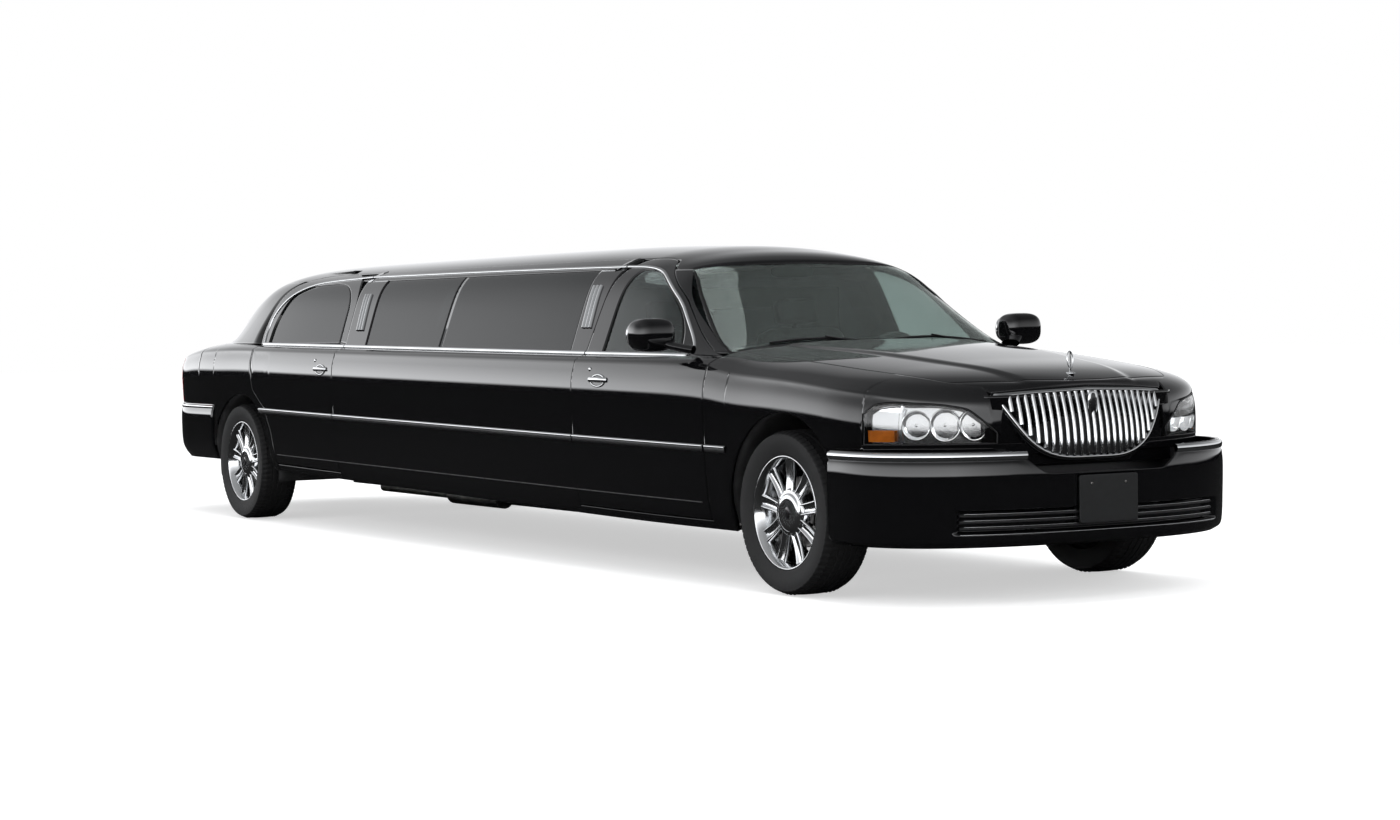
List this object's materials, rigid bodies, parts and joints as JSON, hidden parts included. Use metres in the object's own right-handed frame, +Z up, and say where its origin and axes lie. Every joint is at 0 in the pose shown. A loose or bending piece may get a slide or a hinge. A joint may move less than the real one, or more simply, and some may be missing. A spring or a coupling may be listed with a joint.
{
  "type": "stretch limousine",
  "caption": "Stretch limousine with opening doors, hood and boot lid, steered front wheels and a long saloon behind a partition.",
  "frame": {"origin": "on the ground, in the middle of the footprint", "axes": "+X forward, +Y to the car's left, +Z up"},
  "size_m": [8.5198, 2.3018, 1.553],
  "materials": {
    "paint": "gloss",
    "glass": "gloss",
    "chrome": "polished",
    "lamp": "gloss",
    "red_lamp": "gloss",
    "chassis": "satin",
    "engine": "satin",
    "exhaust": "satin",
    "black_plastic": "matte",
    "leather": "satin",
    "trim": "matte",
    "wood": "gloss",
    "grip": "satin",
    "forged": "satin",
    "tyre": "matte",
    "rim": "polished"
  },
  "bodies": {
    "body": {"frame_rails": "chassis", "cross_members": "chassis", "floor_pan": "chassis", "firewall": "chassis", "heel_board": "chassis", "boot_floor": "chassis", "cowl": "paint", "front_fenders": "paint", "side_panels": "paint", "quarter_panels": "paint", "roof": "paint", "windscreen": "glass", "rear_window": "glass", "side_windows": "glass", "front_bumper": "paint", "rear_bumper": "paint", "plate_holders": "black_plastic", "grille": "chrome", "headlights": "lamp", "tail_lights": "red_lamp", "dashboard": "black_plastic", "front_seats": "leather", "partition": "trim", "saloon_seats": "leather", "bar_cabinet": "wood", "engine": "engine", "front_suspension": "chassis", "rear_axle": "chassis", "exhaust": "exhaust", "fuel_tank": "black_plastic"},
    "hood": {"hood": "paint"},
    "boot_lid": {"boot_lid": "paint"},
    "front_door_left": {"front_door_left": "paint", "front_glass_left": "glass", "mirror_left": "paint"},
    "rear_door_left": {"rear_door_left": "paint", "rear_glass_left": "glass"},
    "front_door_right": {"front_door_right": "paint", "front_glass_right": "glass", "mirror_right": "paint"},
    "rear_door_right": {"rear_door_right": "paint", "rear_glass_right": "glass"},
    "steering_wheel": {"steering_wheel": "grip"},
    "knuckle_left": {"knuckle_left": "forged"},
    "knuckle_right": {"knuckle_right": "forged"},
    "wheel_front_left": {"tyre_front_left": "tyre", "rim_front_left": "rim"},
    "wheel_front_right": {"tyre_front_right": "tyre", "rim_front_right": "rim"},
    "wheel_rear_left": {"tyre_rear_left": "tyre", "rim_rear_left": "rim"},
    "wheel_rear_right": {"tyre_rear_right": "tyre", "rim_rear_right": "rim"}
  },
  "joints": [
    {"name": "hood_hinge", "type": "hinge", "parent": "body", "child": "hood", "pos_m": [2.625, 0, 1.1], "axis": [0, -1, 0], "range_deg": [0, 55]},
    {"name": "boot_lid_hinge", "type": "hinge", "parent": "body", "child": "boot_lid", "pos_m": [-3.459, 0, 1.13], "axis": [0, 1, 0], "range_deg": [0, 75]},
    {"name": "front_door_left_hinge", "type": "hinge", "parent": "body", "child": "front_door_left", "pos_m": [2.635, 0.962, 0.7], "axis": [0, 0, -1], "range_deg": [0, 62]},
    {"name": "rear_door_left_hinge", "type": "hinge", "parent": "body", "child": "rear_door_left", "pos_m": [-1.339, 0.982, 0.7], "axis": [0, 0, -1], "range_deg": [0, 62]},
    {"name": "front_door_right_hinge", "type": "hinge", "parent": "body", "child": "front_door_right", "pos_m": [2.635, -0.962, 0.7], "axis": [0, 0, 1], "range_deg": [0, 62]},
    {"name": "rear_door_right_hinge", "type": "hinge", "parent": "body", "child": "rear_door_right", "pos_m": [-1.339, -0.982, 0.7], "axis": [0, 0, 1], "range_deg": [0, 62]},
    {"name": "steer_right", "type": "hinge", "parent": "body", "child": "knuckle_right", "pos_m": [3.215, -0.69, 0.352], "axis": [0, 0, 1], "range_deg": [-34, 34]},
    {"name": "steer_left", "type": "hinge", "parent": "body", "child": "knuckle_left", "pos_m": [3.215, 0.69, 0.352], "axis": [0, 0, 1], "range_deg": [-34, 34]},
    {"name": "steering_wheel_turn", "type": "hinge", "parent": "body", "child": "steering_wheel", "pos_m": [2.175, 0.37, 0.93], "axis": [-0.8829, 0, 0.4695], "range_deg": [-540, 540]},
    {"name": "wheel_front_left_spin", "type": "hinge", "parent": "knuckle_left", "child": "wheel_front_left", "pos_m": [3.215, 0.802, 0.352], "axis": [0, 1, 0], "continuous": true},
    {"name": "wheel_front_right_spin", "type": "hinge", "parent": "knuckle_right", "child": "wheel_front_right", "pos_m": [3.215, -0.802, 0.352], "axis": [0, 1, 0], "continuous": true},
    {"name": "wheel_rear_left_spin", "type": "hinge", "parent": "body", "child": "wheel_rear_left", "pos_m": [-2.823, 0.825, 0.352], "axis": [0, 1, 0], "continuous": true},
    {"name": "wheel_rear_right_spin", "type": "hinge", "parent": "body", "child": "wheel_rear_right", "pos_m": [-2.823, -0.825, 0.352], "axis": [0, 1, 0], "continuous": true}
  ],
  "couplings": [
    {"joint": "steer_left", "follows": "steer_right", "ratio": 1},
    {"joint": "steering_wheel_turn", "follows": "steer_right", "ratio": 15}
  ]
}
